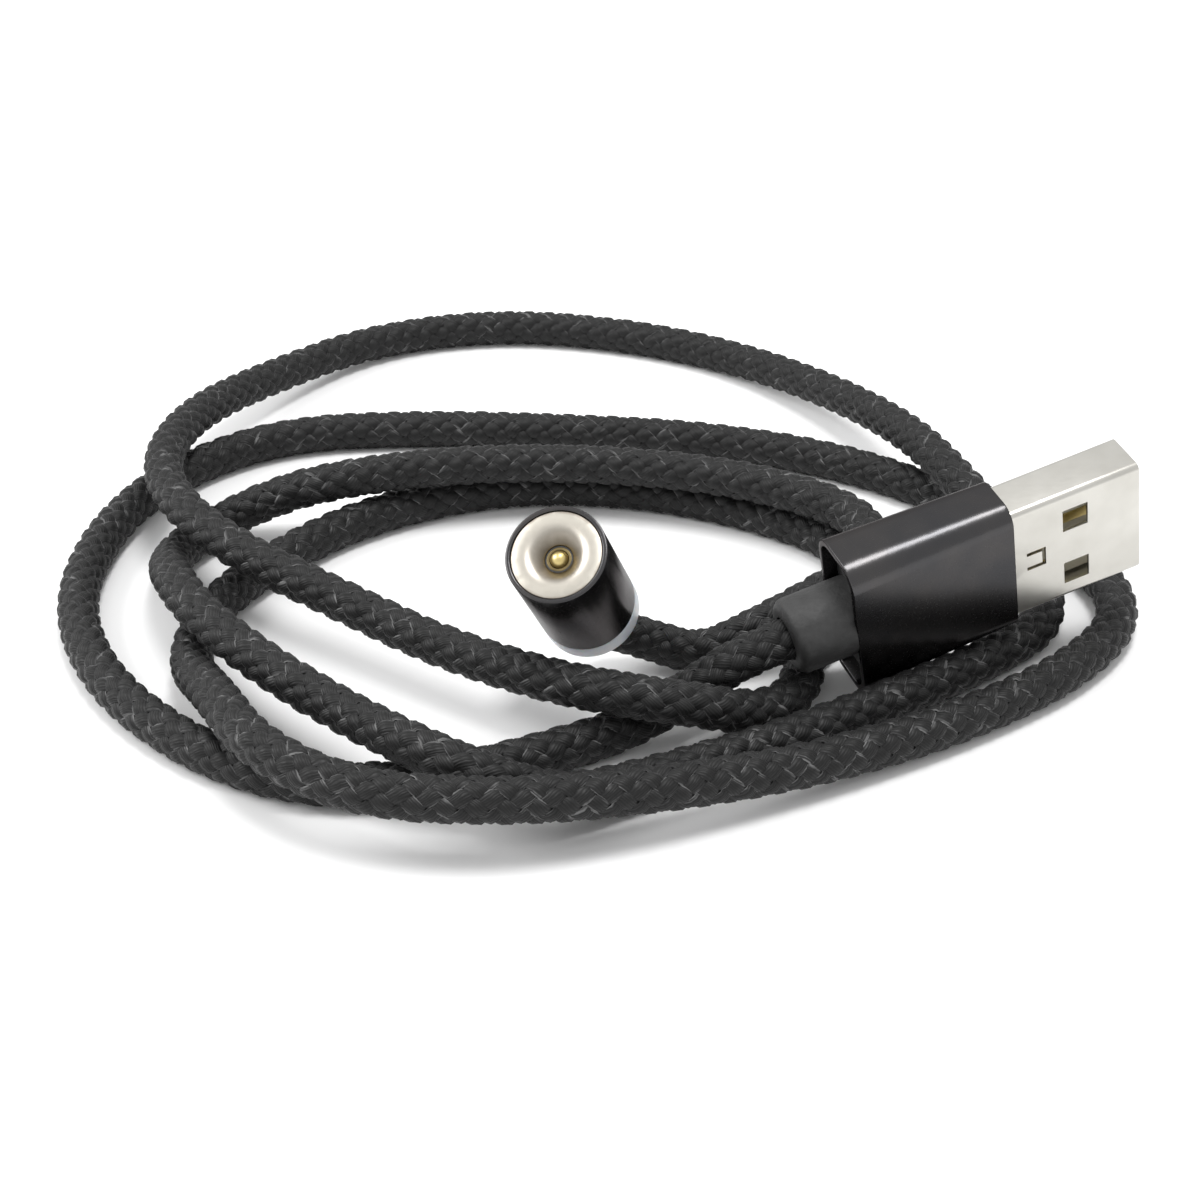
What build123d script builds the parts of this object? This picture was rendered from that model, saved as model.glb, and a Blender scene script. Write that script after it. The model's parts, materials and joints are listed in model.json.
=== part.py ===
from build123d import *
import math
import os

# A magnetic charging cable: a flat rectangular plug at one end, about a metre of braided cord lying
# in loose turns on a table, and a round magnetic head with one sprung pin at the other end.
# Millimetres. The origin is the middle of the plug's mouth, +Z is up.

# --- The table and the lie of the two ends -------------------------------------------------------
# The middle of the turns, on the table, seen from the plug's mouth.
COIL_CENTRE = (-45.9, 17.4, -14.6)
PLUG_HEADING = 19.0
PLUG_PITCH = 13.5
PLUG_ROLL = 10.0
# The head's rear centre, from the middle of the turns, and the way its face looks.
HEAD_REAR = (-0.8, -23.7, 7.4)
HEAD_AXIS = (-0.215, -0.62, 0.77)

# --- Cord ----------------------------------------------------------------------------------------
CORD_DIAMETER = 3.8
CORE_DIAMETER = 2.2
CORNER_SHARE = 0.45
SEAT_CLEARANCE = 0.05
PLUG_EXIT_RUN = 5.0
HEAD_EXIT_RUN = 4.8

# --- Plug shell and contacts ---------------------------------------------------------------------
SHELL_WIDTH = 12.0
SHELL_HEIGHT = 4.5
SHELL_LENGTH = 18.75
SHELL_EXPOSED = 12.3
SHELL_WALL = 0.3
SHELL_CORNER = 0.6
WINDOW_SIDE = 2.4
WINDOW_FROM_MOUTH = 6.2
WINDOW_OFFSET = 3.05
DIMPLE_FROM_MOUTH = 10.0
DIMPLE_WIDTH = 2.0
DIMPLE_SLIT = 0.35
DIMPLE_LENGTH = 1.8
TONGUE_THICKNESS = 1.84
TONGUE_SETBACK = 0.5
TONGUE_LENGTH = 11.0
CARRIER_END = 18.0
CONTACT_WIDTH = 1.0
CONTACT_THICKNESS = 0.25
CONTACT_STANDS_PROUD = 0.1
CONTACT_CLEARANCE = 0.02
POWER_OFFSET = 3.5
DATA_OFFSET = 1.0
POWER_SETBACK = 1.2
DATA_SETBACK = 2.2
TAIL_END = 19.6

# --- Plug sleeve, collar and strain relief -------------------------------------------------------
SLEEVE_LENGTH = 15.2
SLEEVE_WALL = 0.6
SLEEVE_FIT = 0.05
SHELL_GAP_ACROSS = 0.3
SHELL_GAP_THROUGH = 0.05
SLEEVE_SPREAD_ACROSS = 1.0
SLEEVE_SPREAD_THROUGH = 1.0
SLEEVE_CORNER = 2.2
SLEEVE_FRONT_CORNER = 1.7
COLLAR_INSET = 0.6
COLLAR_LENGTH = 4.6
RECESS_DEPTH = 1.2
PLATE_THICKNESS = 2.0
BOSS_DIAMETER = 6.8
BOSS_REACH = 5.2
BOSS_EDGE = 0.9
CORD_SEAT_DEPTH = 1.0
FERRULE_WALL = 0.45
FERRULE_LENGTH = 1.6
WIRE_DIAMETER = 0.7
WIRE_SPREAD = 0.5
WIRE_STRAIGHT = 0.9

# --- Magnetic head -------------------------------------------------------------------------------
HEAD_DIAMETER = 8.6
HEAD_SLEEVE_LENGTH = 11.2
HEAD_WALL = 0.42
HEAD_FIT = 0.05
LIGHT_RING_LENGTH = 1.9
LIGHT_RING_WALL = 0.6
BUSH_DIAMETER = 5.0
BUSH_LENGTH = 3.0
MAGNET_LENGTH = 3.0
MAGNET_RECESS = 0.12
FUNNEL_MOUTH = 4.7
FUNNEL_DEPTH = 0.95
FUNNEL_LIP = 1.4
PIN_HOLE = 2.4
PIN_BUSH_WALL = 0.15
PIN_DIAMETER = 1.6
PIN_CLEARANCE = 0.03
PIN_TIP_DEPTH = 0.55
PIN_TRAVEL = 0.5
PIN_STANDS_PROUD = 0.1
PIN_LENGTH = 3.2
PIN_COLLAR_LENGTH = 0.6
BARREL_WALL = 0.12
BARREL_FLOOR = 0.4
SPRING_SPACE = 1.6
SPRING_WIRE = 0.16
SPRING_TURNS = 5
BOARD_THICKNESS = 0.8
BOARD_RIM = 0.15
LED_SIZE = (1.0, 0.6, 0.45)
LED_COUNT = 3
RESISTOR_SIZE = (1.0, 0.5, 0.35)
CLIP_WIDTH = 1.0
CLIP_THICKNESS = 0.2
HEAD_FERRULE_LENGTH = 1.2

CORD_RADIUS = CORD_DIAMETER / 2
CORE_RADIUS = CORE_DIAMETER / 2

# The route from the plug to the head, from the middle of the turns. The cord lies on the table where
# z is its own radius, and rides over the turn below where z is higher. A straight exit from the
# plug's seat comes before these points, and one into the head's seat comes after them.
ROUTE = [
    (8.4, -30.4, 4.0),
    (2.5, -33.9, 1.9),
    (-5.0, -38.0, 1.9),
    (-14.0, -42.0, 1.9),
    (-24.0, -42.4, 1.9),
    (-34.0, -37.0, 1.9),
    (-43.3, -26.5, 1.9),
    (-48.6, -13.0, 1.9),
    (-48.0, 2.0, 1.9),
    (-43.0, 14.0, 1.9),
    (-33.0, 22.5, 1.9),
    (-19.0, 24.0, 1.9),
    (-4.0, 23.2, 1.9),
    (11.0, 21.4, 1.9),
    (25.0, 16.2, 1.9),
    (36.0, 7.0, 1.9),
    (45.0, -2.0, 1.9),
    (48.4, -14.0, 1.9),
    (42.3, -23.8, 1.9),
    (31.2, -32.5, 1.9),
    (18.0, -40.2, 2.6),
    (5.0, -46.2, 4.2),
    (-7.0, -50.0, 5.6),
    (-19.0, -49.6, 6.1),
    (-27.5, -43.5, 6.4),
    (-32.2, -33.5, 5.2),
    (-36.2, -24.0, 1.9),
    (-36.0, -15.0, 1.9),
    (-31.5, -5.5, 1.9),
    (-23.0, 4.4, 1.9),
    (-10.0, 10.6, 1.9),
    (3.0, 10.2, 1.9),
    (14.0, 5.8, 1.9),
    (22.5, -0.5, 1.9),
    (25.5, -8.5, 1.9),
    (22.0, -15.8, 1.9),
    (18.2, -21.0, 1.9),
    (17.6, -26.2, 1.9),
    (15.8, -30.2, 1.9),
    (12.3, -33.0, 2.8),
    (7.5, -35.6, 5.4),
    (1.5, -35.5, 6.3),
    (-5.0, -32.6, 6.0),
    (-14.0, -26.0, 5.2),
    (-23.0, -18.8, 5.6),
    (-32.0, -12.2, 6.3),
    (-39.5, -4.0, 6.9),
    (-43.6, 7.0, 6.4),
    (-42.0, 20.0, 5.6),
    (-36.0, 34.0, 3.2),
    (-26.0, 47.0, 1.9),
    (-12.0, 51.4, 1.9),
    (2.0, 49.0, 1.9),
    (15.0, 42.5, 1.9),
    (25.0, 30.0, 3.4),
    (31.5, 15.0, 5.8),
    (35.0, 3.0, 6.2),
    (40.0, -7.5, 3.4),
    (41.0, -16.0, 1.9),
    (35.0, -22.9, 1.9),
    (28.6, -29.0, 1.9),
    (16.0, -36.5, 1.9),
    (3.7, -42.3, 1.9),
    (-3.0, -45.2, 2.6),
    (-9.0, -46.1, 5.4),
    (-14.5, -43.6, 6.4),
    (-20.5, -37.4, 5.5),
    (-28.0, -30.5, 5.8),
    (-35.0, -22.5, 6.3),
    (-38.8, -14.5, 5.7),
    (-40.3, -7.5, 3.0),
    (-40.0, -2.4, 1.9),
    (-37.4, 1.5, 2.2),
    (-33.0, 3.4, 3.8),
    (-27.5, 3.7, 5.7),
    (-17.0, 6.7, 6.0),
    (-5.0, 8.8, 5.5),
    (7.0, 7.2, 5.5),
    (17.0, 3.0, 5.8),
    (25.0, -3.5, 5.9),
    (25.0, -12.0, 5.9),
    (19.0, -19.3, 6.1),
    (13.4, -21.8, 4.2),
    (8.8, -22.1, 1.9),
    (4.4, -20.8, 2.7),
]


def turned(vector, axis, degrees):
    """The vector turned about a unit axis at right angles to it."""
    angle = math.radians(degrees)
    return vector * math.cos(angle) + axis.cross(vector) * math.sin(angle)


def plug_plane():
    """The plug's own frame: x out of the mouth, y through its thickness, z across its width."""
    heading = math.radians(PLUG_HEADING)
    pitch = math.radians(PLUG_PITCH)
    level = math.cos(pitch)
    ahead = Vector(level * math.cos(heading), level * math.sin(heading), math.sin(pitch))
    side = Vector(-math.sin(heading), math.cos(heading), 0)
    up = turned(ahead.cross(side), ahead, PLUG_ROLL)
    return Plane(origin=(0, 0, 0), x_dir=ahead, z_dir=up)


def head_plane():
    """The head's own frame: origin at its rear centre, z out of the face."""
    rear = Vector(*COIL_CENTRE) + Vector(*HEAD_REAR)
    return Plane(origin=rear, x_dir=(1, 0, 0), z_dir=HEAD_AXIS)


PLUG = plug_plane()
HEAD = head_plane()


def save(node, shape):
    """Writes one node; several solids in it stay separate."""
    shape.label = node
    export_step(shape, os.path.join("parts", node + ".step"))
    print(node, round(shape.volume, 3), "mm3")


def block(x_low, x_high, y_low, y_high, z_low, z_high):
    """A box given by its faces."""
    size = (x_high - x_low, y_high - y_low, z_high - z_low)
    middle = ((x_low + x_high) / 2, (y_low + y_high) / 2, (z_low + z_high) / 2)
    return Pos(*middle) * Box(*size)


def along_x(x_low, x_high, radius):
    """A round bar along the plug."""
    return Pos((x_low + x_high) / 2, 0, 0) * Rot(0, 90, 0) * Cylinder(radius, x_high - x_low)


def along_z(z_low, z_high, radius):
    """A round bar along the head."""
    return Pos(0, 0, (z_low + z_high) / 2) * Cylinder(radius, z_high - z_low)


def rounded_section(x, height, width, corner):
    """A rounded rectangle across the plug at x; height is its thickness, width its long side."""
    plane = Plane(origin=(x, 0, 0), x_dir=(0, 1, 0), z_dir=(1, 0, 0))
    return plane * RectangleRounded(height, width, corner)


def prism(x_low, x_high, height, width, corner):
    """A straight bar of rounded rectangular section along the plug."""
    return extrude(rounded_section(x_low, height, width, corner), amount=x_high - x_low)


def bent_wire(points, radius):
    """A wire through points, with every corner as round as half its runs allow."""
    path = FilletPolyline(*points, radius=corner_radii(points))
    section = Plane(origin=path @ 0, z_dir=path % 0) * Circle(radius)
    return sweep(section, path=path)


def corner_radii(points):
    """One radius for each corner: a share of the shorter run over the tangent of half the turn."""
    corners = [Vector(*point) for point in points]
    radii = []
    for before, corner, after in zip(corners, corners[1:], corners[2:]):
        arriving = corner - before
        leaving = after - corner
        half_turn = math.radians(arriving.get_angle(leaving) / 2)
        radii.append(CORNER_SHARE * min(arriving.length, leaving.length) / math.tan(half_turn))
    return radii


# --- Plug ----------------------------------------------------------------------------------------
INNER_HEIGHT = SHELL_HEIGHT - 2 * SHELL_WALL
INNER_WIDTH = SHELL_WIDTH - 2 * SHELL_WALL
INNER_CORNER = SHELL_CORNER - SHELL_WALL
TONGUE_FACE = INNER_HEIGHT / 2 - TONGUE_THICKNESS
SLEEVE_FRONT_WIDTH = SHELL_WIDTH + 2 * (SHELL_GAP_ACROSS + SLEEVE_WALL)
SLEEVE_FRONT_HEIGHT = SHELL_HEIGHT + 2 * (SHELL_GAP_THROUGH + SLEEVE_WALL)
SLEEVE_REAR_WIDTH = SLEEVE_FRONT_WIDTH + SLEEVE_SPREAD_ACROSS
SLEEVE_REAR_HEIGHT = SLEEVE_FRONT_HEIGHT + SLEEVE_SPREAD_THROUGH
SLEEVE_FRONT = -SHELL_EXPOSED
SLEEVE_REAR = SLEEVE_FRONT - SLEEVE_LENGTH
PLATE_REAR = SLEEVE_REAR + RECESS_DEPTH
PLATE_FRONT = PLATE_REAR + PLATE_THICKNESS
BOSS_END = SLEEVE_REAR - BOSS_REACH
CORD_SEAT = BOSS_END + CORD_SEAT_DEPTH
CORE_FRONT = PLATE_FRONT + FERRULE_LENGTH
CONTACTS = {
    "contact_vbus": (POWER_OFFSET, POWER_SETBACK),
    "contact_d_minus": (DATA_OFFSET, DATA_SETBACK),
    "contact_d_plus": (-DATA_OFFSET, DATA_SETBACK),
    "contact_ground": (-POWER_OFFSET, POWER_SETBACK),
}


def dimple_slit():
    """The U-shaped slit that frees the shell's small spring tab, cut through one wide wall."""
    low = -DIMPLE_FROM_MOUTH - DIMPLE_LENGTH / 2
    high = -DIMPLE_FROM_MOUTH + DIMPLE_LENGTH / 2
    half = DIMPLE_WIDTH / 2
    outside = -SHELL_HEIGHT / 2 - SHELL_WALL
    inside = -SHELL_HEIGHT / 2 + 2 * SHELL_WALL
    cut = block(high - DIMPLE_SLIT, high, outside, inside, -half, half)
    for side in (-1, 1):
        edges = sorted((side * half, side * (half - DIMPLE_SLIT)))
        cut += block(low, high, outside, inside, edges[0], edges[1])
    return cut


def usb_shell():
    """The bent sheet shell with two latch windows in each wide wall."""
    shell = prism(-SHELL_LENGTH, 0, SHELL_HEIGHT, SHELL_WIDTH, SHELL_CORNER)
    shell -= prism(-SHELL_LENGTH, 0, INNER_HEIGHT, INNER_WIDTH, INNER_CORNER)
    for side in (-1, 1):
        window = Box(WINDOW_SIDE, 2 * SHELL_HEIGHT, WINDOW_SIDE)
        shell -= Pos(-WINDOW_FROM_MOUTH, 0, side * WINDOW_OFFSET) * window
    return shell - dimple_slit()


def contact(offset, setback, clearance):
    """One flat contact, from behind the tongue's tip to its tail, grown by the clearance."""
    half = CONTACT_WIDTH / 2 + clearance
    y_low = TONGUE_FACE - CONTACT_STANDS_PROUD - clearance
    y_high = TONGUE_FACE - CONTACT_STANDS_PROUD + CONTACT_THICKNESS + clearance
    return block(-TAIL_END - clearance, -setback + clearance, y_low, y_high, offset - half, offset + half)


def contact_carrier():
    """The moulded tongue with a base that plugs the shell, grooved for the contacts."""
    tongue_end = -TONGUE_SETBACK - TONGUE_LENGTH
    tongue_half = INNER_WIDTH / 2 - INNER_CORNER
    carrier = block(tongue_end, -TONGUE_SETBACK, TONGUE_FACE, INNER_HEIGHT / 2, -tongue_half, tongue_half)
    carrier += prism(-CARRIER_END, tongue_end, INNER_HEIGHT, INNER_WIDTH, INNER_CORNER)
    for offset, setback in CONTACTS.values():
        carrier -= contact(offset, setback, CONTACT_CLEARANCE)
    return carrier


def sleeve_form(inset):
    """The sleeve's tapered outside, or with an inset the space inside its wall."""
    front = rounded_section(
        SLEEVE_FRONT,
        SLEEVE_FRONT_HEIGHT - 2 * inset,
        SLEEVE_FRONT_WIDTH - 2 * inset,
        SLEEVE_FRONT_CORNER - inset,
    )
    rear = rounded_section(
        SLEEVE_REAR,
        SLEEVE_REAR_HEIGHT - 2 * inset,
        SLEEVE_REAR_WIDTH - 2 * inset,
        SLEEVE_CORNER - inset,
    )
    return loft([rear, front])


def usb_sleeve():
    """The thin tapered grip sleeve, open at both ends."""
    return sleeve_form(0) - sleeve_form(SLEEVE_WALL)


def plug_collar():
    """The moulded collar that centres the sleeve on the shell."""
    rear = SLEEVE_FRONT - COLLAR_INSET - COLLAR_LENGTH
    front = SLEEVE_FRONT - COLLAR_INSET
    slab = block(rear, front, -SLEEVE_REAR_HEIGHT, SLEEVE_REAR_HEIGHT, -SLEEVE_REAR_WIDTH, SLEEVE_REAR_WIDTH)
    collar = sleeve_form(SLEEVE_WALL + SLEEVE_FIT) & slab
    return collar - prism(rear, front, SHELL_HEIGHT, SHELL_WIDTH, SHELL_CORNER)


def strain_relief():
    """The rubber end: a plate recessed in the sleeve, and a round boss that the cord seats in."""
    slab = block(
        PLATE_REAR, PLATE_FRONT, -SLEEVE_REAR_HEIGHT, SLEEVE_REAR_HEIGHT, -SLEEVE_REAR_WIDTH, SLEEVE_REAR_WIDTH
    )
    relief = sleeve_form(SLEEVE_WALL + SLEEVE_FIT) & slab
    relief += sleeve_form(SLEEVE_WALL + SLEEVE_FIT) & along_x(SLEEVE_REAR, PLATE_REAR, BOSS_DIAMETER / 2)
    boss = along_x(BOSS_END, SLEEVE_REAR, BOSS_DIAMETER / 2)
    rim = boss.edges().filter_by(GeomType.CIRCLE).sort_by(Axis.X)[0]
    relief += fillet(rim, BOSS_EDGE)
    relief -= along_x(BOSS_END, PLATE_FRONT, CORE_RADIUS + SEAT_CLEARANCE)
    return relief - along_x(BOSS_END, CORD_SEAT, CORD_RADIUS + SEAT_CLEARANCE)


def plug_ferrule():
    """The crimped ring on the stripped core, against the plate."""
    ring = along_x(PLATE_FRONT, CORE_FRONT, CORE_RADIUS + FERRULE_WALL)
    return ring - along_x(PLATE_FRONT, CORE_FRONT, CORE_RADIUS)


def plug_wire(side):
    """One conductor, from the core's end to the tail of a power contact."""
    tail = TONGUE_FACE - CONTACT_STANDS_PROUD + CONTACT_THICKNESS / 2
    start = (CORE_FRONT, 0, side * WIRE_SPREAD)
    leaving = (CORE_FRONT + WIRE_STRAIGHT, 0, side * WIRE_SPREAD)
    arriving = (-TAIL_END - WIRE_STRAIGHT, tail, side * POWER_OFFSET)
    end = (-TAIL_END, tail, side * POWER_OFFSET)
    return bent_wire([start, leaving, arriving, end], WIRE_DIAMETER / 2)


# --- Cord ----------------------------------------------------------------------------------------
def cord_points():
    """The route in the row frame, from the seat in the boss to the seat in the head."""
    centre = Vector(*COIL_CENTRE)
    leaving = [PLUG.from_local_coords(Vector(CORD_SEAT - run, 0, 0)) for run in (0, PLUG_EXIT_RUN)]
    arriving = [HEAD.from_local_coords(Vector(0, 0, BUSH_SEAT - run)) for run in (HEAD_EXIT_RUN, 0)]
    return leaving + [centre + Vector(*point) for point in ROUTE] + arriving


def cord():
    """The whole cord as one round tube."""
    points = cord_points()
    radii = corner_radii(points)
    path = FilletPolyline(*points, radius=radii)
    section = Plane(origin=path @ 0, z_dir=path % 0) * Circle(CORD_RADIUS)
    tube = sweep(section, path=path)
    expected = math.pi * CORD_RADIUS**2 * path.length
    print("cord length", round(path.length, 1), "smallest radius", round(min(radii), 2))
    print("cord radii", [round(radius, 1) for radius in radii])
    print("cord volume", round(tube.volume, 1), "section by length", round(expected, 1))
    return tube


# --- Head ----------------------------------------------------------------------------------------
HEAD_RADIUS = HEAD_DIAMETER / 2
HEAD_BORE = HEAD_RADIUS - HEAD_WALL
HEAD_TOP = LIGHT_RING_LENGTH + HEAD_SLEEVE_LENGTH
INNER_RADIUS = HEAD_BORE - HEAD_FIT
BUSH_SEAT = CORD_SEAT_DEPTH
MAGNET_TOP = HEAD_TOP - MAGNET_RECESS
MAGNET_REAR = MAGNET_TOP - MAGNET_LENGTH
PIN_HOLE_RADIUS = PIN_HOLE / 2
BARREL_RADIUS = PIN_HOLE_RADIUS - PIN_BUSH_WALL
BARREL_BORE = BARREL_RADIUS - BARREL_WALL
PIN_TIP = HEAD_TOP - PIN_TIP_DEPTH
BUSH_TOP = PIN_TIP - PIN_TRAVEL - PIN_STANDS_PROUD
PIN_REAR = PIN_TIP - PIN_LENGTH
PIN_COLLAR_TOP = PIN_REAR + PIN_COLLAR_LENGTH + PIN_CLEARANCE
BOARD_TOP = PIN_REAR - SPRING_SPACE - BARREL_FLOOR
BOARD_REAR = BOARD_TOP - BOARD_THICKNESS
CORE_TOP = BUSH_LENGTH + HEAD_FERRULE_LENGTH


def ring(z_low, z_high, outer, inner):
    """A plain tube along the head."""
    return along_z(z_low, z_high, outer) - along_z(z_low, z_high, inner)


def light_ring():
    """The clear ring at the head's rear, with a thin wall up inside the sleeve to the board."""
    clear = ring(0, LIGHT_RING_LENGTH, HEAD_RADIUS, BUSH_DIAMETER / 2)
    return clear + ring(LIGHT_RING_LENGTH, BOARD_REAR, INNER_RADIUS, INNER_RADIUS - LIGHT_RING_WALL)


def rear_bush():
    """The rubber bush that the cord seats in."""
    bush = ring(0, BUSH_LENGTH, BUSH_DIAMETER / 2, CORE_RADIUS + SEAT_CLEARANCE)
    return bush - along_z(0, BUSH_SEAT, CORD_RADIUS + SEAT_CLEARANCE)


def magnet_ring():
    """The ring magnet with a funnel that guides the pin's mate."""
    magnet = ring(MAGNET_REAR, MAGNET_TOP, INNER_RADIUS, PIN_HOLE_RADIUS)
    funnel = Cone(PIN_HOLE_RADIUS, FUNNEL_MOUTH / 2, FUNNEL_DEPTH)
    magnet -= Pos(0, 0, MAGNET_TOP - FUNNEL_DEPTH / 2) * funnel
    rims = magnet.edges().filter_by(GeomType.CIRCLE).filter_by_position(Axis.Z, MAGNET_TOP, MAGNET_TOP)
    return fillet(rims.sort_by(SortBy.RADIUS)[0], FUNNEL_LIP)


def pin_bush():
    """The insulating tube between magnet and barrel."""
    return ring(BOARD_TOP, BUSH_TOP, PIN_HOLE_RADIUS, BARREL_RADIUS)


def pin_barrel():
    """The barrel of the sprung pin, with a mouth that keeps the pin's collar in."""
    barrel = ring(BOARD_TOP, BUSH_TOP, BARREL_RADIUS, PIN_DIAMETER / 2 + PIN_CLEARANCE)
    barrel -= along_z(BOARD_TOP + BARREL_FLOOR, PIN_COLLAR_TOP, BARREL_BORE)
    return barrel + along_z(BOARD_TOP, BOARD_TOP + BARREL_FLOOR, BARREL_RADIUS)


def contact_pin():
    """The sprung pin: a dome, a stem and a collar inside the barrel."""
    radius = PIN_DIAMETER / 2
    stem = along_z(PIN_REAR, PIN_TIP - radius, radius)
    dome = Pos(0, 0, PIN_TIP - radius) * Sphere(radius)
    collar_radius = BARREL_BORE - PIN_CLEARANCE
    return stem + dome + along_z(PIN_REAR, PIN_REAR + PIN_COLLAR_LENGTH, collar_radius)


def pin_spring():
    """The coil spring behind the pin."""
    low = BOARD_TOP + BARREL_FLOOR + SPRING_WIRE
    high = PIN_REAR - SPRING_WIRE
    radius = BARREL_BORE - PIN_CLEARANCE - SPRING_WIRE / 2
    path = Pos(0, 0, low) * Helix((high - low) / SPRING_TURNS, high - low, radius)
    section = Plane(origin=path @ 0, z_dir=path % 0) * Circle(SPRING_WIRE / 2)
    return sweep(section, path=path)


def head_board():
    """The round circuit board that the barrel stands on."""
    return along_z(BOARD_REAR, BOARD_TOP, INNER_RADIUS - BOARD_RIM)


def head_leds():
    """The light emitters under the board, spread round it."""
    length, width, height = LED_SIZE
    reach = INNER_RADIUS - LIGHT_RING_WALL - width
    z = BOARD_REAR - height / 2
    turns = [Rot(0, 0, index * 360 / LED_COUNT) for index in range(LED_COUNT)]
    return Compound([turn * Pos(reach, 0, z) * Box(width, length, height) for turn in turns])


def resistor():
    """One small resistor on the board's front side, beside the bush."""
    length, width, height = RESISTOR_SIZE
    reach = (PIN_HOLE_RADIUS + INNER_RADIUS) / 2
    return Pos(-reach, 0, BOARD_TOP + height / 2) * Box(width, length, height)


def ground_clip():
    """The springy strip between the magnet and the board: a post with two feet."""
    reach = (PIN_HOLE_RADIUS + INNER_RADIUS) / 2
    half = CLIP_WIDTH / 2
    foot = reach - half
    post = block(foot, foot + CLIP_THICKNESS, -half, half, BOARD_TOP, MAGNET_REAR)
    post += block(foot, foot + CLIP_WIDTH, -half, half, BOARD_TOP, BOARD_TOP + CLIP_THICKNESS)
    return post + block(foot, foot + CLIP_WIDTH, -half, half, MAGNET_REAR - CLIP_THICKNESS, MAGNET_REAR)


def head_ferrule():
    """The crimped ring on the core inside the head."""
    return ring(BUSH_LENGTH, CORE_TOP, CORE_RADIUS + FERRULE_WALL, CORE_RADIUS)


def head_wire(side):
    """One conductor, from the core's end to the board."""
    spread = side * 2 * WIRE_SPREAD
    rise = (BOARD_REAR - CORE_TOP) / 3
    start = (0, side * WIRE_SPREAD, CORE_TOP)
    leaving = (0, side * WIRE_SPREAD, CORE_TOP + rise)
    arriving = (0, spread, BOARD_REAR - rise)
    return bent_wire([start, leaving, arriving, (0, spread, BOARD_REAR)], WIRE_DIAMETER / 2)


def plug_nodes():
    nodes = {
        "usb_shell": usb_shell(),
        "contact_carrier": contact_carrier(),
        "usb_sleeve": usb_sleeve(),
        "plug_collar": plug_collar(),
        "strain_relief": strain_relief(),
        "plug_ferrule": plug_ferrule(),
        "plug_cable_core": along_x(CORD_SEAT, CORE_FRONT, CORE_RADIUS),
        "plug_wire_red": plug_wire(1),
        "plug_wire_black": plug_wire(-1),
    }
    for name, (offset, setback) in CONTACTS.items():
        nodes[name] = contact(offset, setback, 0)
    return nodes


def head_nodes():
    return {
        "head_sleeve": ring(LIGHT_RING_LENGTH, HEAD_TOP, HEAD_RADIUS, HEAD_BORE),
        "light_ring": light_ring(),
        "rear_bush": rear_bush(),
        "magnet_ring": magnet_ring(),
        "pin_bush": pin_bush(),
        "pin_barrel": pin_barrel(),
        "contact_pin": contact_pin(),
        "pin_spring": pin_spring(),
        "head_board": head_board(),
        "head_leds": head_leds(),
        "resistor": resistor(),
        "ground_clip": ground_clip(),
        "head_ferrule": head_ferrule(),
        "head_cable_core": along_z(BUSH_SEAT, CORE_TOP, CORE_RADIUS),
        "head_wire_red": head_wire(1),
        "head_wire_black": head_wire(-1),
    }


os.makedirs("parts", exist_ok=True)
for name, piece in plug_nodes().items():
    save(name, PLUG.location * piece)
for name, piece in head_nodes().items():
    save(name, HEAD.location * piece)
save("cord", cord())
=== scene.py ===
import json
import math

import bpy
import numpy as np
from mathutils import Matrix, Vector


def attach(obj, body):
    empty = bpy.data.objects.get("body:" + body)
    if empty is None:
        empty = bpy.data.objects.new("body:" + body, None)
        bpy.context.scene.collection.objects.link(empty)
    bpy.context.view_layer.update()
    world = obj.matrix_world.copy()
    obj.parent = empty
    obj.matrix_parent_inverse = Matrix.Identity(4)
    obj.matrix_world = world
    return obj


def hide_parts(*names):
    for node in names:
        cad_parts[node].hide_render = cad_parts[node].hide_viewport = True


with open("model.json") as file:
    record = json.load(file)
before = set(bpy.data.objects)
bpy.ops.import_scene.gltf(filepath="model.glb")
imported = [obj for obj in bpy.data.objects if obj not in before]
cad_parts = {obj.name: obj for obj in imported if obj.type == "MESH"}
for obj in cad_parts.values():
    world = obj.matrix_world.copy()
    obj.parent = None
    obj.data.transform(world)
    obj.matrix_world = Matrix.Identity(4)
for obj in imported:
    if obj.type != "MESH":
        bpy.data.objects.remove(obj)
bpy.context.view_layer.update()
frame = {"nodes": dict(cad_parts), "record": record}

MM = 0.001
MOUNTS = {mount["name"]: mount for mount in frame["record"]["mounts"]}
PLUG_MOUTH = Vector(MOUNTS["usb_plug"]["pos_m"])
PLUG_AXIS = Vector(MOUNTS["usb_plug"]["axis"]).normalized()
HEAD_FACE = Vector(MOUNTS["magnetic_face"]["pos_m"])
HEAD_AXIS = Vector(MOUNTS["magnetic_face"]["axis"]).normalized()

# The middle of the turns, on the table.
COIL_CENTRE = Vector((-0.0459, 0.0174, -0.0146))

# How far the plug's boss reaches behind its mouth and the head's end behind its face, how deep the
# cord sits in each, and how far it runs straight out.
PLUG_END = 0.0327
SEAT_DEPTH = 0.001
PLUG_EXIT_RUN = 0.005
HEAD_LENGTH = 0.0131
HEAD_RADIUS = 0.0043
HEAD_EXIT_RUN = 0.0048

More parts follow.
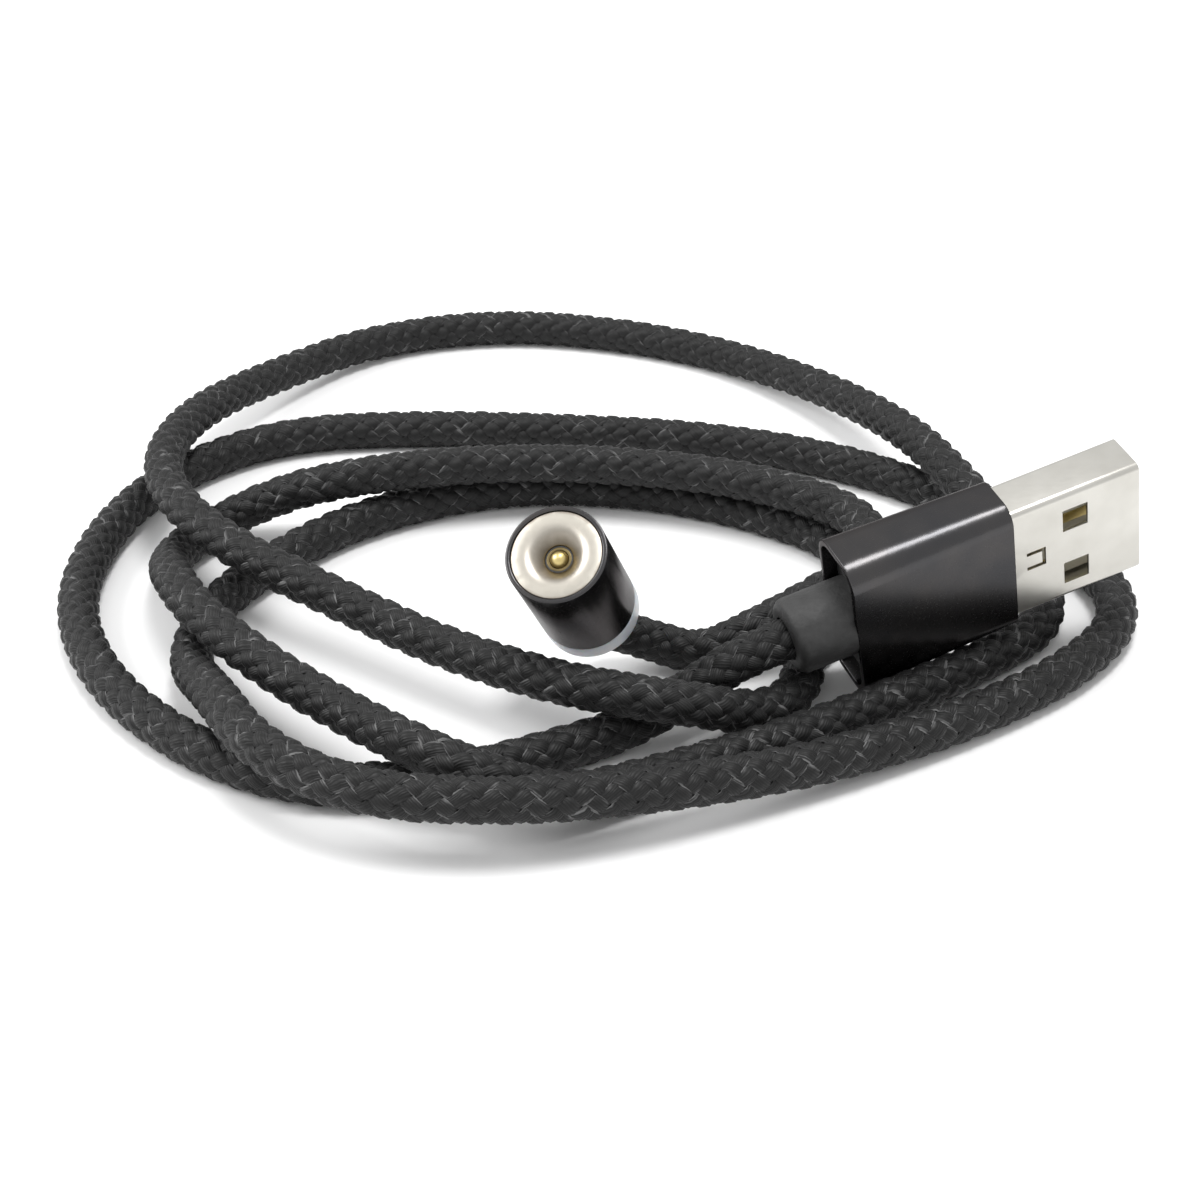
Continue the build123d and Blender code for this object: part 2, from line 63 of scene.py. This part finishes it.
# The cord's route between its two straight exits, in metres from the middle of the turns. Four
# points of a strand in front of the plug lie up to 1.7 mm further back than in CAD.
ROUTE = [
    (0.0084, -0.0304, 0.0040),
    (0.0025, -0.0339, 0.0019),
    (-0.0050, -0.0380, 0.0019),
    (-0.0140, -0.0420, 0.0019),
    (-0.0240, -0.0424, 0.0019),
    (-0.0340, -0.0370, 0.0019),
    (-0.0433, -0.0265, 0.0019),
    (-0.0486, -0.0130, 0.0019),
    (-0.0480, 0.0020, 0.0019),
    (-0.0430, 0.0140, 0.0019),
    (-0.0330, 0.0225, 0.0019),
    (-0.0190, 0.0240, 0.0019),
    (-0.0040, 0.0232, 0.0019),
    (0.0110, 0.0214, 0.0019),
    (0.0250, 0.0162, 0.0019),
    (0.0360, 0.0070, 0.0019),
    (0.0450, -0.0020, 0.0019),
    (0.0484, -0.0140, 0.0019),
    (0.0423, -0.0238, 0.0019),
    (0.0312, -0.0325, 0.0019),
    (0.0180, -0.0402, 0.0026),
    (0.0050, -0.0462, 0.0042),
    (-0.0070, -0.0500, 0.0056),
    (-0.0190, -0.0496, 0.0061),
    (-0.0275, -0.0435, 0.0064),
    (-0.0322, -0.0335, 0.0052),
    (-0.0362, -0.0240, 0.0019),
    (-0.0360, -0.0150, 0.0019),
    (-0.0315, -0.0055, 0.0019),
    (-0.0230, 0.0044, 0.0019),
    (-0.0100, 0.0106, 0.0019),
    (0.0030, 0.0102, 0.0019),
    (0.0140, 0.0058, 0.0019),
    (0.0225, -0.0005, 0.0019),
    (0.0255, -0.0085, 0.0019),
    (0.0220, -0.0158, 0.0019),
    (0.0182, -0.0210, 0.0019),
    (0.0176, -0.0262, 0.0019),
    (0.0158, -0.0302, 0.0019),
    (0.0123, -0.0330, 0.0028),
    (0.0075, -0.0356, 0.0054),
    (0.0015, -0.0355, 0.0063),
    (-0.0050, -0.0326, 0.0060),
    (-0.0140, -0.0260, 0.0052),
    (-0.0230, -0.0188, 0.0056),
    (-0.0320, -0.0122, 0.0063),
    (-0.0395, -0.0040, 0.0069),
    (-0.0436, 0.0070, 0.0064),
    (-0.0420, 0.0200, 0.0056),
    (-0.0360, 0.0340, 0.0032),
    (-0.0260, 0.0470, 0.0019),
    (-0.0120, 0.0514, 0.0019),
    (0.0020, 0.0490, 0.0019),
    (0.0150, 0.0425, 0.0019),
    (0.0250, 0.0300, 0.0034),
    (0.0315, 0.0150, 0.0058),
    (0.0350, 0.0030, 0.0062),
    (0.0400, -0.0075, 0.0034),
    (0.0410, -0.0160, 0.0019),
    (0.0346, -0.0222, 0.0019),
    (0.0278, -0.0275, 0.0019),
    (0.0162, -0.0354, 0.0019),
    (0.0037, -0.0417, 0.0019),
    (-0.0030, -0.0452, 0.0026),
    (-0.0090, -0.0461, 0.0054),
    (-0.0145, -0.0436, 0.0064),
    (-0.0205, -0.0374, 0.0055),
    (-0.0280, -0.0305, 0.0058),
    (-0.0350, -0.0225, 0.0063),
    (-0.0388, -0.0145, 0.0057),
    (-0.0403, -0.0075, 0.0030),
    (-0.0400, -0.0024, 0.0019),
    (-0.0374, 0.0015, 0.0022),
    (-0.0330, 0.0034, 0.0038),
    (-0.0275, 0.0037, 0.0057),
    (-0.0170, 0.0067, 0.0060),
    (-0.0050, 0.0088, 0.0055),
    (0.0070, 0.0072, 0.0055),
    (0.0170, 0.0030, 0.0058),
    (0.0250, -0.0035, 0.0059),
    (0.0250, -0.0120, 0.0059),
    (0.0190, -0.0193, 0.0061),
    (0.0134, -0.0218, 0.0042),
    (0.0088, -0.0221, 0.0019),
    (0.0044, -0.0208, 0.0027),
]

# --- Camera --------------------------------------------------------------------------------------
CAMERA_FROM_COIL = Vector((0.0, -0.1955, 0.1076))
AIM_FROM_COIL = Vector((0.0, -0.0091, 0.0))
FIELD_OF_VIEW = 29.24


def make_camera():
    data = bpy.data.cameras.new("camera")
    camera = bpy.data.objects.new("camera", data)
    bpy.context.scene.collection.objects.link(camera)
    camera.location = COIL_CENTRE + CAMERA_FROM_COIL
    camera.rotation_euler = (AIM_FROM_COIL - CAMERA_FROM_COIL).to_track_quat("-Z", "Y").to_euler()
    data.sensor_width = 36.0
    data.lens = data.sensor_width / 2 / math.tan(math.radians(FIELD_OF_VIEW / 2))
    data.clip_start = 0.01
    data.clip_end = 10.0
    bpy.context.scene.camera = camera


# --- Node helpers --------------------------------------------------------------------------------
class Nodes:
    """A new node material with short ways to add what the materials below need."""

    def __init__(self, name, **settings):
        self.material = bpy.data.materials.new(name)
        self.material.use_nodes = True
        self.tree = self.material.node_tree
        self.shader = self.tree.nodes["Principled BSDF"]
        for socket, value in settings.items():
            self.shader.inputs[socket.replace("_", " ")].default_value = value

    def add(self, kind, **inputs):
        node = self.tree.nodes.new(kind)
        for socket, value in inputs.items():
            self.put(node.inputs[socket.replace("_", " ")], value)
        return node

    def put(self, socket, value):
        if isinstance(value, bpy.types.NodeSocket):
            self.tree.links.new(value, socket)
        else:
            socket.default_value = value

    def place(self, kind="Object", scale=(1, 1, 1)):
        source = self.add("ShaderNodeTexCoord").outputs[kind]
        return self.add("ShaderNodeMapping", Vector=source, Scale=scale).outputs["Vector"]

    def noise(self, where, scale, detail=3.0):
        node = self.add("ShaderNodeTexNoise", Vector=where, Scale=scale, Detail=detail, Roughness=0.55)
        return node.outputs["Fac"]

    def math(self, operation, *values):
        node = self.tree.nodes.new("ShaderNodeMath")
        node.operation = operation
        for socket, value in zip(node.inputs, values):
            self.put(socket, value)
        return node.outputs[0]

    def vector(self, operation, first, second=None, output="Vector"):
        node = self.tree.nodes.new("ShaderNodeVectorMath")
        node.operation = operation
        self.put(node.inputs[0], first)
        if second is not None:
            self.put(node.inputs[1], second)
        return node.outputs[output]

    def ramp(self, factor, *stops):
        node = self.add("ShaderNodeValToRGB", Fac=factor)
        elements = node.color_ramp.elements
        while len(elements) < len(stops):
            elements.new(0.5)
        for element, (position, colour) in zip(elements, stops):
            element.position = position
            element.color = (*colour, 1.0)
        return node.outputs["Color"]

    def spread(self, factor, low, high):
        node = self.add("ShaderNodeMapRange", Value=factor, To_Min=low, To_Max=high)
        return node.outputs["Result"]

    def colour(self, value):
        self.put(self.shader.inputs["Base Color"], value)

    def rough(self, value):
        self.put(self.shader.inputs["Roughness"], value)

    def bump(self, height, distance):
        node = self.add("ShaderNodeBump", Height=height, Distance=distance, Strength=1.0)
        self.put(self.shader.inputs["Normal"], node.outputs["Normal"])


def worn(name, dark, light, rough, grain, bump, **settings):
    """A plain surface with a little drift in its colour, its gloss and its grain; the bump is in mm."""
    nodes = Nodes(name, **settings)
    where = nodes.place()
    broad = nodes.noise(where, grain / 6)
    fine = nodes.noise(where, grain, detail=4.0)
    nodes.colour(nodes.ramp(broad, (0.3, dark), (0.7, light)))
    nodes.rough(nodes.spread(fine, rough[0], rough[1]))
    nodes.bump(fine, bump * MM)
    return nodes.material


# --- Materials -----------------------------------------------------------------------------------
# The filaments across one ribbon of the braid.
FILAMENTS = 7


def braid_material():
    """Black yarn in fine filaments along each ribbon of the braid, with painted highlight lightening a
    few filaments and, in patches, the ribbon edges.
    """
    nodes = Nodes("braid", Sheen_Weight=0.05, Sheen_Roughness=0.4, Specular_IOR_Level=0.32)
    split = nodes.add("ShaderNodeSeparateXYZ", Vector=nodes.add("ShaderNodeTexCoord").outputs["UV"])
    across = split.outputs["X"]
    wander = nodes.noise(nodes.place("UV", (1.0, 0.35, 1.0)), 1.6)
    sway = nodes.math("MULTIPLY", wander, 0.35)
    phase = nodes.math("MULTIPLY", nodes.math("ADD", across, sway), FILAMENTS * 2 * math.pi)
    ridge = nodes.math("MULTIPLY_ADD", nodes.math("SINE", phase), 0.5, 0.5)
    streak = nodes.noise(nodes.place("UV", (FILAMENTS * 1.7, 0.22, 1.0)), 1.0, detail=2.0)
    fluff = nodes.noise(nodes.place("Object"), 2600.0, detail=2.0)
    inside = nodes.math("ABSOLUTE", nodes.math("SINE", nodes.math("MULTIPLY", across, math.pi)))
    border = nodes.math("SUBTRACT", 1.0, nodes.math("POWER", inside, 0.5))
    filament = nodes.math("MULTIPLY", ridge, fluff)
    # Painted highlight: lighter colour on some filaments and, in patches, along the ribbon edges; the
    # ramp's lightest stop is this highlight.
    filament_highlight = nodes.math("MULTIPLY", nodes.math("MULTIPLY", streak, 0.5), filament)
    patches = nodes.math("MULTIPLY", nodes.noise(nodes.place("Object"), 420.0, detail=1.0), 1.25)
    edge_highlight = nodes.math("MULTIPLY", border, nodes.math("MULTIPLY", streak, 2.2))
    patchy_edge_highlight = nodes.math("MULTIPLY", edge_highlight, nodes.math("POWER", patches, 2.2))
    tone = nodes.math("ADD", filament_highlight, patchy_edge_highlight)
    stops = ((0.08, (0.003, 0.003, 0.003)), (0.3, (0.010, 0.010, 0.0103)), (0.58, (0.12, 0.12, 0.12)))
    nodes.colour(nodes.ramp(tone, *stops))
    nodes.rough(nodes.spread(ridge, 0.66, 0.46))
    height = nodes.math("ADD", ridge, nodes.math("MULTIPLY", fluff, 0.6))
    nodes.bump(height, 0.02 * MM)
    return nodes.material


def anodised_material():
    """Black anodised aluminium: glossy, with faint turning marks."""
    nodes = Nodes("black_anodised", Metallic=1.0, Specular_Tint=(0.5, 0.49, 0.49, 1.0))
    fine = nodes.noise(nodes.place("Object"), 5200.0, detail=2.0)
    broad = nodes.noise(nodes.place("Object"), 160.0)
    nodes.colour(nodes.ramp(broad, (0.3, (0.058, 0.058, 0.061)), (0.7, (0.078, 0.074, 0.073))))
    nodes.rough(nodes.spread(fine, 0.22, 0.3))
    nodes.bump(fine, 0.0008 * MM)
    return nodes.material


def shell_material():
    """Nickel-plated steel sheet with a faint grain along the plug."""
    nodes = Nodes("plated_shell", Metallic=1.0)
    where = nodes.place("Object", (0.25, 1.0, 1.0))
    grain = nodes.noise(where, 4200.0, detail=3.0)
    broad = nodes.noise(nodes.place("Object"), 180.0)
    nodes.colour(nodes.ramp(broad, (0.3, (0.50, 0.487, 0.45)), (0.7, (0.60, 0.588, 0.55))))
    nodes.rough(nodes.spread(grain, 0.26, 0.36))
    nodes.bump(grain, 0.001 * MM)
    return nodes.material


def magnet_material():
    """Satin nickel with painted shade: darker and browner towards the bottom of the funnel round the
    pin; also darker and browner along the outer rim.
    """
    nodes = Nodes("nickel_face", Metallic=1.0)
    where = nodes.place()
    from_axis = nodes.vector("CROSS_PRODUCT", nodes.vector("SUBTRACT", where, HEAD_FACE), HEAD_AXIS)
    radius = nodes.math("DIVIDE", nodes.vector("LENGTH", from_axis, output="Value"), HEAD_RADIUS)
    fine = nodes.noise(where, 2600.0, detail=4.0)
    drift = nodes.math("MULTIPLY", nodes.math("SUBTRACT", nodes.noise(where, 900.0), 0.5), 0.12)
    # Painted shade: the lowest stops darken the funnel round the pin; the last stop makes the outer rim
    # darker and browner.
    stops = (
        (0.24, (0.08, 0.066, 0.05)),
        (0.36, (0.20, 0.175, 0.14)),
        (0.48, (0.34, 0.31, 0.265)),
        (0.58, (0.46, 0.43, 0.38)),
        (0.84, (0.49, 0.465, 0.41)),
        (0.92, (0.22, 0.17, 0.13)),
    )
    nodes.colour(nodes.ramp(nodes.math("ADD", radius, drift), *stops))
    nodes.rough(nodes.spread(fine, 0.3, 0.42))
    nodes.bump(fine, 0.002 * MM)
    return nodes.material


# The plain surfaces by slot: name, dark and light tone, gloss range, grain, bump in mm, other settings.
METAL = {"Metallic": 1.0}
CLEAR = {"Transmission_Weight": 0.45, "Subsurface_Weight": 0.25, "Subsurface_Scale": 0.001}
PLAIN = {
    "black_rubber": (
        "black_rubber", (0.010, 0.010, 0.010), (0.032, 0.032, 0.032),
        (0.5, 0.68), 3000, 0.05, {},
    ),
    "gold": ("gold_plate", (0.56, 0.44, 0.17), (0.70, 0.57, 0.27), (0.3, 0.42), 3000, 0.003, METAL),
    # The brass tone is dull brass darkened further as painted shade in the hole round the contact pin.
    "brass": ("dull_brass", (0.13, 0.10, 0.05), (0.22, 0.17, 0.08), (0.3, 0.45), 2600, 0.004, METAL),
    "spring_steel": (
        "spring_steel", (0.42, 0.42, 0.43), (0.58, 0.58, 0.6),
        (0.25, 0.4), 2600, 0.003, METAL,
    ),
    "clear_plastic": (
        "clear_ring", (0.78, 0.81, 0.86), (0.88, 0.90, 0.94),
        (0.25, 0.38), 2200, 0.004, CLEAR,
    ),
    "white_plastic": (
        "ivory_moulding", (0.62, 0.58, 0.46), (0.72, 0.69, 0.58),
        (0.4, 0.55), 2400, 0.004, {},
    ),
    "inner_jacket": ("inner_jacket", (0.12, 0.12, 0.13), (0.2, 0.2, 0.21), (0.5, 0.65), 2600, 0.006, {}),
    "wire_red": ("red_insulation", (0.42, 0.03, 0.02), (0.6, 0.05, 0.04), (0.4, 0.5), 3000, 0.004, {}),
    "wire_black": (
        "black_insulation", (0.01, 0.01, 0.01), (0.03, 0.03, 0.03),
        (0.4, 0.5), 3000, 0.004, {},
    ),
    "circuit_board": (
        "circuit_board", (0.01, 0.10, 0.04), (0.02, 0.16, 0.07),
        (0.3, 0.4), 2600, 0.004, {},
    ),
    "led": ("led_lens", (0.75, 0.72, 0.5), (0.85, 0.82, 0.62), (0.15, 0.25), 2600, 0.003, {}),
}


def make_materials():
    materials = {slot: worn(*surface, **settings) for slot, (*surface, settings) in PLAIN.items()}
    materials["black_aluminium"] = anodised_material()
    materials["shell_steel"] = shell_material()
    materials["magnet_nickel"] = magnet_material()
    materials["braid"] = braid_material()
    return materials


# --- Cord ----------------------------------------------------------------------------------------
# Six ribbons turn each way round the cord, once in each lead.
CARRIERS = 6
LEAD = 13.8 * MM
SAMPLES_PER_LEAD = 36
RIBBON_WIDTH = 1.5 * MM
RIBBON_RADIUS = 1.78 * MM
# How far a ribbon rises and dips as it passes over and under, and how flat it stays on top.
WEAVE_HEIGHT = 0.2 * MM
WEAVE_FLATNESS = 1.4
# How much lower a ribbon's edges lie than its middle, and the places across it that have points.
RIBBON_CROWN = 0.3 * MM
RIBBON_PLACES = (-1.0, -0.4, 0.4, 1.0)
# Small random changes along each ribbon, in its width and in its height.
DRIFT_STEPS = 400
WIDTH_DRIFT = 0.05
HEIGHT_DRIFT = 0.012 * MM
CORE_RADIUS = 1.45 * MM
CORE_SIDES = 12
CORE_STEP = 1.5 * MM


def route_points():
    seat = PLUG_MOUTH - PLUG_AXIS * (PLUG_END - SEAT_DEPTH)
    head_seat = HEAD_FACE - HEAD_AXIS * (HEAD_LENGTH - SEAT_DEPTH)
    between = [COIL_CENTRE + Vector(point) for point in ROUTE]
    leaving = [seat, seat - PLUG_AXIS * PLUG_EXIT_RUN]
    arriving = [head_seat - HEAD_AXIS * HEAD_EXIT_RUN, head_seat]
    return leaving + between + arriving


def smooth_line(points):
    """The points of the NURBS spline that has the route's points as its control points."""
    curve = bpy.data.curves.new("cord_route", "CURVE")
    curve.dimensions = "3D"
    curve.resolution_u = 16
    spline = curve.splines.new("NURBS")
    spline.points.add(len(points) - 1)
    for control, point in zip(spline.points, points):
        control.co = (*point, 1.0)
    spline.order_u = 3
    spline.use_endpoint_u = True
    route = bpy.data.objects.new("cord_route", curve)
    line = bpy.data.meshes.new_from_object(route)
    found = np.array([vertex.co for vertex in line.vertices], float)
    bpy.data.objects.remove(route)
    bpy.data.curves.remove(curve)
    bpy.data.meshes.remove(line)
    return found


class Line:
    """A line by arc length, with a frame that doesn't twist along it."""

    def __init__(self, points):
        steps = np.linalg.norm(np.diff(points, axis=0), axis=1)
        points = points[np.r_[True, steps > 1e-9]]
        steps = np.linalg.norm(np.diff(points, axis=0), axis=1)
        self.points = points
        self.at = np.r_[0.0, np.cumsum(steps)]
        self.length = self.at[-1]
        tangents = np.gradient(points, self.at, axis=0)
        self.tangents = tangents / np.linalg.norm(tangents, axis=1)[:, None]
        normal = np.cross(self.tangents[0], (0.0, 0.0, 1.0))
        normals = []
        for tangent in self.tangents:
            normal = normal - tangent * (normal @ tangent)
            normal = normal / np.linalg.norm(normal)
            normals.append(normal)
        self.normals = np.array(normals)
        self.sides = np.cross(self.tangents, self.normals)

    def spot(self, along, angle, radius):
        """The points at these arc lengths, angles round the line and distances from it."""
        along = np.clip(along, 0.0, self.length)
        parts = []
        for values in (self.points, self.normals, self.sides):
            columns = [np.interp(along, self.at, values[:, axis]) for axis in range(3)]
            parts.append(np.stack(columns, axis=-1))
        middle, normal, side = parts
        out = np.cos(angle)[..., None] * normal + np.sin(angle)[..., None] * side
        return middle + radius[..., None] * out


def grid_faces(first, rows, columns, closed):
    """Quads between the rows and columns of one sheet, closed round its columns or open."""
    strips = columns if closed else columns - 1
    row, column = np.meshgrid(np.arange(rows - 1), np.arange(strips), indexing="ij")
    near, far = row * columns, (row + 1) * columns
    after = (column + 1) % columns
    quads = [near + column, near + after, far + after, far + column]
    return first + np.stack(quads, axis=-1).reshape(-1, 4)


def ribbon(line, turn, index, rng):
    """One flat yarn ribbon of the braid: its points, and where each lies across and along it."""
    rows = int(line.length / LEAD * SAMPLES_PER_LEAD) + 1
    along = np.linspace(0.0, line.length, rows)[:, None]
    across = np.array(RIBBON_PLACES)[None, :]
    slope = math.atan2(2 * math.pi * RIBBON_RADIUS, LEAD)
    steps = np.linspace(0, line.length, DRIFT_STEPS)
    drift = np.interp(along[:, 0], steps, rng.normal(0, 1, DRIFT_STEPS))[:, None]
    half = RIBBON_WIDTH / 2 * (1 + WIDTH_DRIFT * drift)
    weave = turn * np.clip(WEAVE_FLATNESS * np.cos(2 * CARRIERS * math.pi * along / LEAD), -1, 1)
    radius = RIBBON_RADIUS + WEAVE_HEIGHT * weave + HEIGHT_DRIFT * drift - RIBBON_CROWN * across**2
    angle = turn * 2 * math.pi * along / LEAD + 2 * math.pi * index / CARRIERS
    angle = angle + turn * across * half * math.cos(slope) / RIBBON_RADIUS
    where = along - across * half * math.sin(slope)
    points = line.spot(where, angle, np.broadcast_to(radius, where.shape))
    texture = np.stack([np.broadcast_to((across + 1) / 2 + index * 3, where.shape), where / MM], axis=-1)
    return points.reshape(-1, 3), texture.reshape(-1, 2), rows


def core(line):
    """The round core under the braid."""
    rows = int(line.length / CORE_STEP) + 1
    along = np.linspace(0.0, line.length, rows)[:, None]
    angle = np.linspace(0.0, 2 * math.pi, CORE_SIDES, endpoint=False)[None, :]
    along, angle = np.broadcast_arrays(along, angle)
    points = line.spot(along, angle, np.full(angle.shape, CORE_RADIUS))
    texture = np.stack([angle * 2.0, along / MM], axis=-1)
    return points.reshape(-1, 3), texture.reshape(-1, 2), rows


def make_cord(materials):
    line = Line(smooth_line(route_points()))
    rng = np.random.default_rng(7)
    points, textures, faces, count = [], [], [], 0
    sheets = []
    for turn in (1, -1):
        for index in range(CARRIERS):
            sheets.append((ribbon(line, turn, index, rng), len(RIBBON_PLACES), False))
    sheets.append((core(line), CORE_SIDES, True))
    for (found, texture, rows), columns, closed in sheets:
        points.append(found)
        textures.append(texture)
        faces.append(grid_faces(count, rows, columns, closed))
        count += len(found)
    mesh = bpy.data.meshes.new("cord_braid")
    faces = np.concatenate(faces)
    mesh.from_pydata(np.concatenate(points).tolist(), [], faces.tolist())
    layer = mesh.uv_layers.new(name="braid")
    layer.data.foreach_set("uv", np.concatenate(textures)[faces.ravel()].astype(np.float32).ravel())
    mesh.polygons.foreach_set("use_smooth", np.ones(len(faces), bool))
    mesh.materials.append(materials["braid"])
    braid = bpy.data.objects.new("cord_braid", mesh)
    bpy.context.scene.collection.objects.link(braid)
    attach(braid, "cable")
    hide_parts("cord")


# --- Carried-over parts --------------------------------------------------------------------------
EDGE_ROUND = {
    "usb_shell": 0.05,
    "usb_sleeve": 0.12,
    "strain_relief": 0.12,
    "head_sleeve": 0.1,
    "light_ring": 0.08,
    "magnet_ring": 0.06,
    "rear_bush": 0.08,
    "contact_carrier": 0.06,
}
DEFAULT_EDGE_ROUND = 0.03
SHARP_ANGLE = 35.0


def finish_nodes(materials):
    """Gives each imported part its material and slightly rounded, smooth edges."""
    slots = {part["node"]: part["material_slot"] for part in frame["record"]["subparts"]}
    for name, node in frame["nodes"].items():
        node.data.materials.clear()
        node.data.materials.append(materials[slots[name]])
        if node.hide_render:
            continue
        weld = node.modifiers.new("weld", "WELD")
        weld.merge_threshold = 0.002 * MM
        bevel = node.modifiers.new("edges", "BEVEL")
        bevel.width = EDGE_ROUND.get(name, DEFAULT_EDGE_ROUND) * MM
        bevel.segments = 3
        bevel.limit_method = "ANGLE"
        bevel.angle_limit = math.radians(SHARP_ANGLE)
        bevel.harden_normals = True
        for polygon in node.data.polygons:
            polygon.use_smooth = True


# --- Stage ---------------------------------------------------------------------------------------
FLOOR_REACH = 3.0
FLOOR_DROP = 0.02 * MM


def soft_light(name, place, size, power):
    data = bpy.data.lights.new(name, "AREA")
    data.shape = "RECTANGLE"
    data.size, data.size_y = size
    data.energy = power
    light = bpy.data.objects.new(name, data)
    bpy.context.scene.collection.objects.link(light)
    light.location = COIL_CENTRE + Vector(place)
    light.rotation_euler = (-Vector(place)).to_track_quat("-Z", "Y").to_euler()


def make_stage():
    mesh = bpy.data.meshes.new("floor")
    corners = [(FLOOR_REACH * x, FLOOR_REACH * y, 0) for x, y in ((-1, -1), (1, -1), (1, 1), (-1, 1))]
    mesh.from_pydata(corners, [], [(0, 1, 2, 3)])
    floor = bpy.data.objects.new("floor", mesh)
    bpy.context.scene.collection.objects.link(floor)
    floor.location = (COIL_CENTRE.x, COIL_CENTRE.y, COIL_CENTRE.z - FLOOR_DROP)
    white = Nodes("floor_white", Roughness=0.55, Specular_IOR_Level=0.25)
    cloud = white.noise(white.place(), 8.0)
    white.colour(white.ramp(cloud, (0.3, (0.86, 0.86, 0.86)), (0.7, (0.88, 0.88, 0.88))))
    mesh.materials.append(white.material)
    world = bpy.data.worlds.new("studio")
    world.use_nodes = True
    background = world.node_tree.nodes["Background"]
    background.inputs["Color"].default_value = (1, 1, 1, 1)
    background.inputs["Strength"].default_value = 0.95
    bpy.context.scene.world = world
    soft_light("key", (-0.5, 0.0, 0.4), (0.4, 0.3), 2.5)
    soft_light("ridge", (0.08, -0.04, 0.6), (0.3, 0.14), 2.2)
    bpy.context.scene.view_settings.view_transform = "Standard"


make_camera()
MATERIALS = make_materials()
make_cord(MATERIALS)
finish_nodes(MATERIALS)
make_stage()
